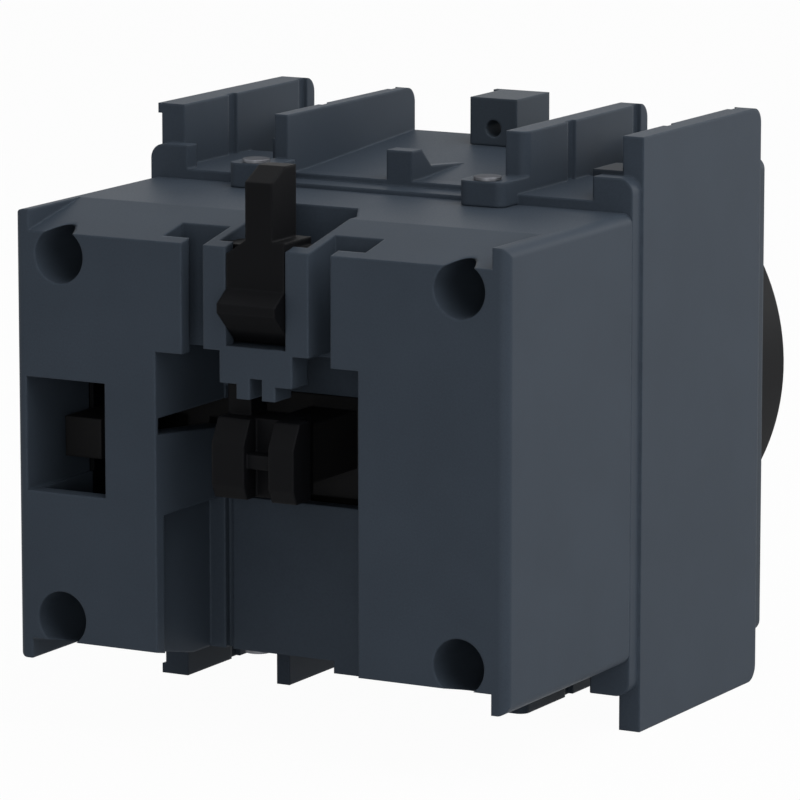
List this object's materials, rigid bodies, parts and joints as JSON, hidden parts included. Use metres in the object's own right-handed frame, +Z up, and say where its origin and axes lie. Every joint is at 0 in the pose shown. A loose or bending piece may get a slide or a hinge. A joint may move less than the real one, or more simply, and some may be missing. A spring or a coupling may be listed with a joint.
{
  "type": "pneumatic contactor timer block",
  "caption": "Clip-on pneumatic timer block for a DIN-rail contactor, with guide grooves, sprung latch, coupling claw, terminal bays and a round setting dial.",
  "frame": {"origin": "centre line of the guide channel, on the rear seating plane, at mid height of the casing", "axes": "+Y points to the rear, towards the contactor; +Z is up; +X is to the right when looking at the dial from the front"},
  "size_m": [0.044, 0.059, 0.0474],
  "materials": {
    "case_grey": "fine matt moulded",
    "cover_grey": "fine matt moulded",
    "black": "satin moulded",
    "dial_black": "satin moulded",
    "plate": "pressed laminate",
    "steel": "zinc plated",
    "spring_steel": "drawn wire",
    "brass": "pressed strip",
    "silver": "contact silver",
    "rubber": "moulded rubber",
    "chamber": "natural moulded",
    "felt": "pressed felt"
  },
  "bodies": {
    "casing": {"rear_housing": "case_grey", "front_housing": "case_grey", "front_cover": "cover_grey", "mechanism_plate": "plate", "air_chamber": "chamber", "chamber_cap": "chamber", "check_valve": "rubber", "filter_pad": "felt", "diaphragm_ring": "chamber", "diaphragm": "rubber", "latch_pin": "steel", "latch_spring": "spring_steel", "timing_spring": "spring_steel", "return_spring": "spring_steel", "changeover_springs": "spring_steel", "contact_no_upper": "brass", "contact_no_lower": "brass", "contact_nc_upper": "brass", "contact_nc_lower": "brass", "fixed_tips": "silver", "clamp_washers": "steel", "terminal_screws": "steel", "assembly_screws": "steel", "joint_pins": "steel"},
    "latch": {"latch_lever": "black"},
    "claw": {"coupling_claw": "black", "drive_carrier": "black"},
    "diaphragm_train": {"diaphragm_plate": "chamber", "spring_cup": "steel"},
    "contact_train": {"contact_carrier": "chamber", "bridge_nc": "brass", "bridge_no": "brass", "bridge_tips": "silver", "contact_springs": "spring_steel"},
    "dial": {"timing_dial": "dial_black", "needle_spindle": "steel", "dial_ring": "spring_steel"}
  },
  "joints": [
    {"name": "latch_tilt", "type": "hinge", "parent": "casing", "child": "latch", "pos_m": [0, -0.0054, 0.0099], "axis": [1, 0, 0], "range_deg": [0, 26], "stiffness_Nm_per_rad": 0.01, "springref_deg": -22.92, "deforming": ["latch_spring"]},
    {"name": "claw_slide", "type": "slide", "parent": "casing", "child": "claw", "axis": [0, 1, 0], "range_m": [0, 0.004], "stiffness_N_per_m": 200, "springref_m": -0.004, "deforming": ["return_spring"]},
    {"name": "diaphragm_slide", "type": "slide", "parent": "casing", "child": "diaphragm_train", "axis": [0, 1, 0], "range_m": [0, 0.004], "deforming": ["timing_spring", "diaphragm"]},
    {"name": "contact_slide", "type": "slide", "parent": "casing", "child": "contact_train", "axis": [0, 1, 0], "range_m": [0, 0.002], "deforming": ["changeover_springs"]},
    {"name": "dial_turn", "type": "hinge", "parent": "casing", "child": "dial", "pos_m": [0, -0.05, 0.00035], "axis": [0, 1, 0], "range_deg": [0, 300]}
  ],
  "couplings": [
    {"joint": "diaphragm_slide", "follows": "claw_slide", "ratio": 1},
    {"joint": "contact_slide", "follows": "claw_slide", "ratio": 0.5}
  ]
}
